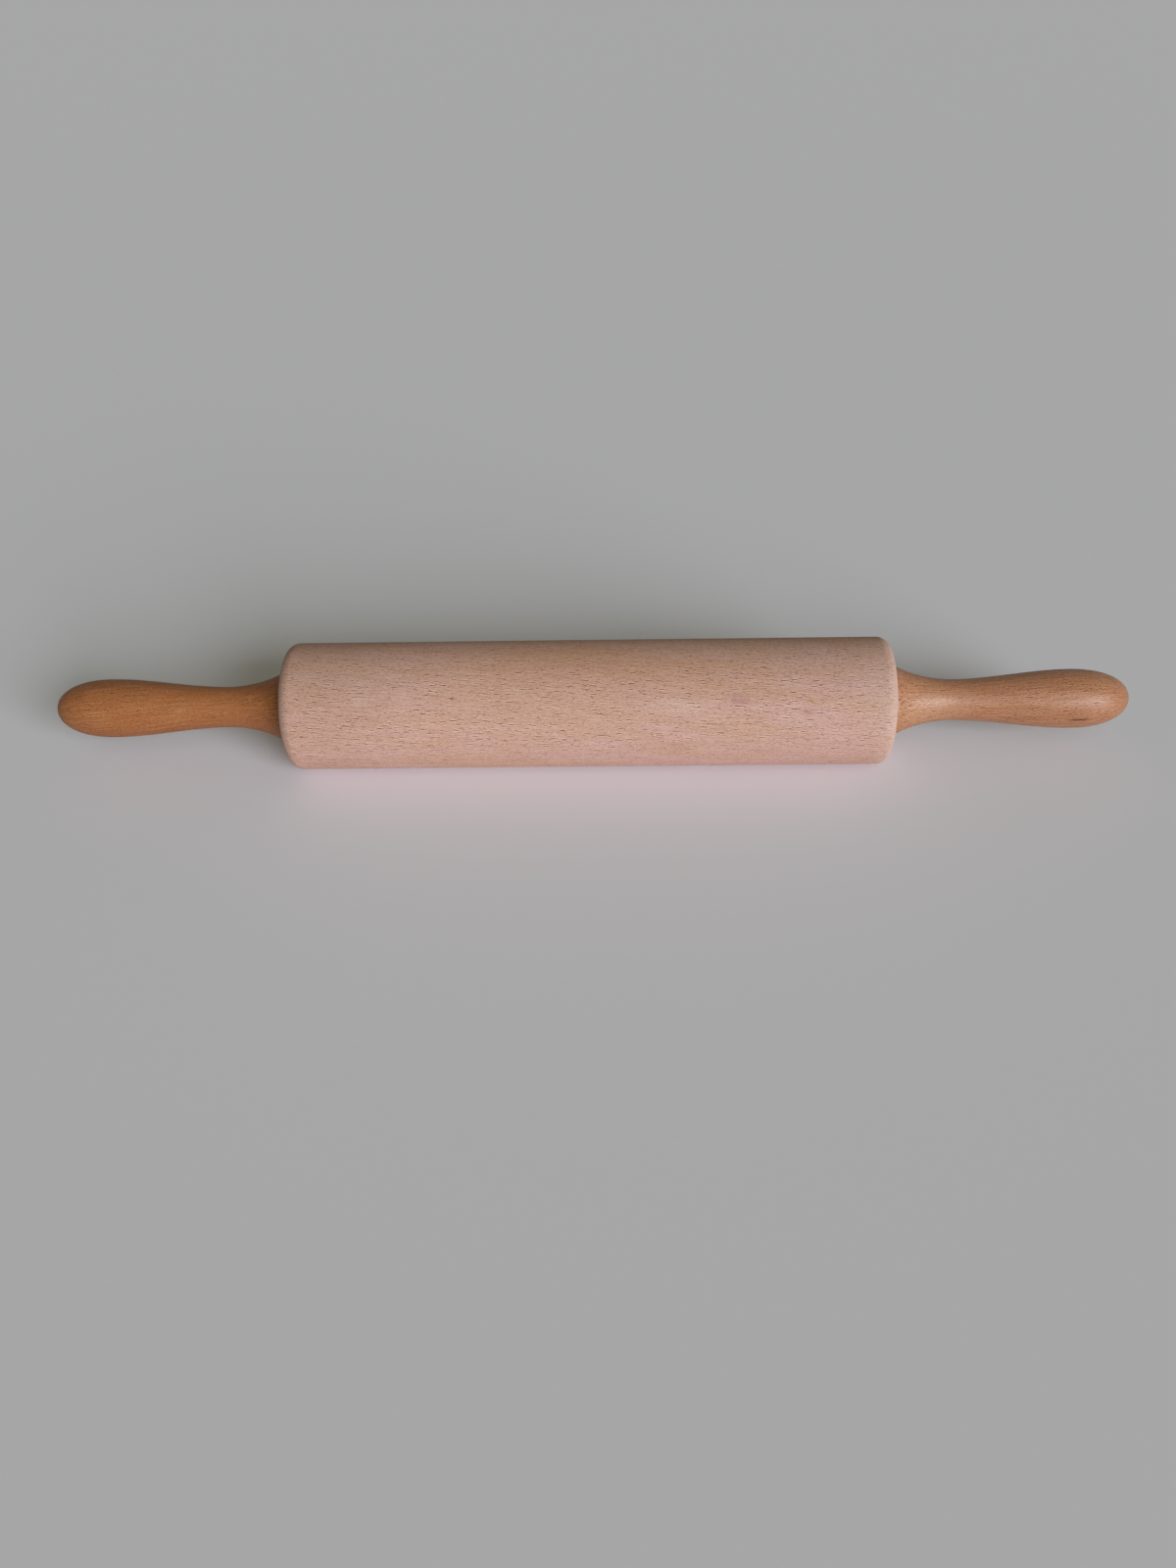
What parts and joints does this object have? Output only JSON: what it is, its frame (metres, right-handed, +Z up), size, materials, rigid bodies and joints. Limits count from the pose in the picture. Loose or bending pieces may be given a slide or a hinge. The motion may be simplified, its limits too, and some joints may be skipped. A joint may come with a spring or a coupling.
{
  "type": "rolling pin",
  "caption": "Wooden rolling pin: a straight beech roller with rounded ends that turns freely on a steel axle between two turned, bulb-shaped handles.",
  "frame": {"origin": "middle of the roller, on the axis that the roller and both handles share", "axes": "+X along the axis towards the right-hand handle, +Z up; the roller rests on a surface at z = -0.0265 m"},
  "size_m": [0.449, 0.053, 0.053],
  "materials": {
    "bare_beech": "matte, unvarnished, finely sanded beech",
    "lacquered_beech": "satin lacquer over darker beech",
    "axle_steel": "bright drawn steel, knurled ends",
    "bearing_steel": "ground bearing steel",
    "polished_steel": "polished bearing balls",
    "shield_steel": "pressed sheet steel, satin",
    "spring_steel": "oil-blackened spring steel",
    "cage_nylon": "natural moulded nylon",
    "washer_nylon": "white nylon"
  },
  "bodies": {
    "roller": {"roller": "bare_beech", "bearing_outer_ring_left": "bearing_steel", "bearing_outside_shield_left": "shield_steel", "bearing_inside_shield_left": "shield_steel", "bearing_outer_ring_right": "bearing_steel", "bearing_outside_shield_right": "shield_steel", "bearing_inside_shield_right": "shield_steel"},
    "handles_and_axle": {"axle": "axle_steel", "handle_left": "lacquered_beech", "handle_right": "lacquered_beech", "bearing_inner_ring_left": "bearing_steel", "thrust_washer_left": "washer_nylon", "retaining_clip_left": "spring_steel", "bearing_inner_ring_right": "bearing_steel", "thrust_washer_right": "washer_nylon", "retaining_clip_right": "spring_steel"},
    "cage_left": {"bearing_cage_left": "cage_nylon", "bearing_balls_left": "polished_steel"},
    "cage_right": {"bearing_cage_right": "cage_nylon", "bearing_balls_right": "polished_steel"}
  },
  "joints": [
    {"name": "handles_spin", "type": "hinge", "parent": "roller", "child": "handles_and_axle", "pos_m": [0, 0, 0], "axis": [1, 0, 0], "continuous": true},
    {"name": "cage_left_spin", "type": "hinge", "parent": "roller", "child": "cage_left", "pos_m": [-0.1205, 0, 0], "axis": [1, 0, 0], "continuous": true},
    {"name": "cage_right_spin", "type": "hinge", "parent": "roller", "child": "cage_right", "pos_m": [0.1205, 0, 0], "axis": [1, 0, 0], "continuous": true}
  ],
  "couplings": [
    {"joint": "cage_left_spin", "follows": "handles_spin", "ratio": 0.3677},
    {"joint": "cage_right_spin", "follows": "handles_spin", "ratio": 0.3677}
  ]
}
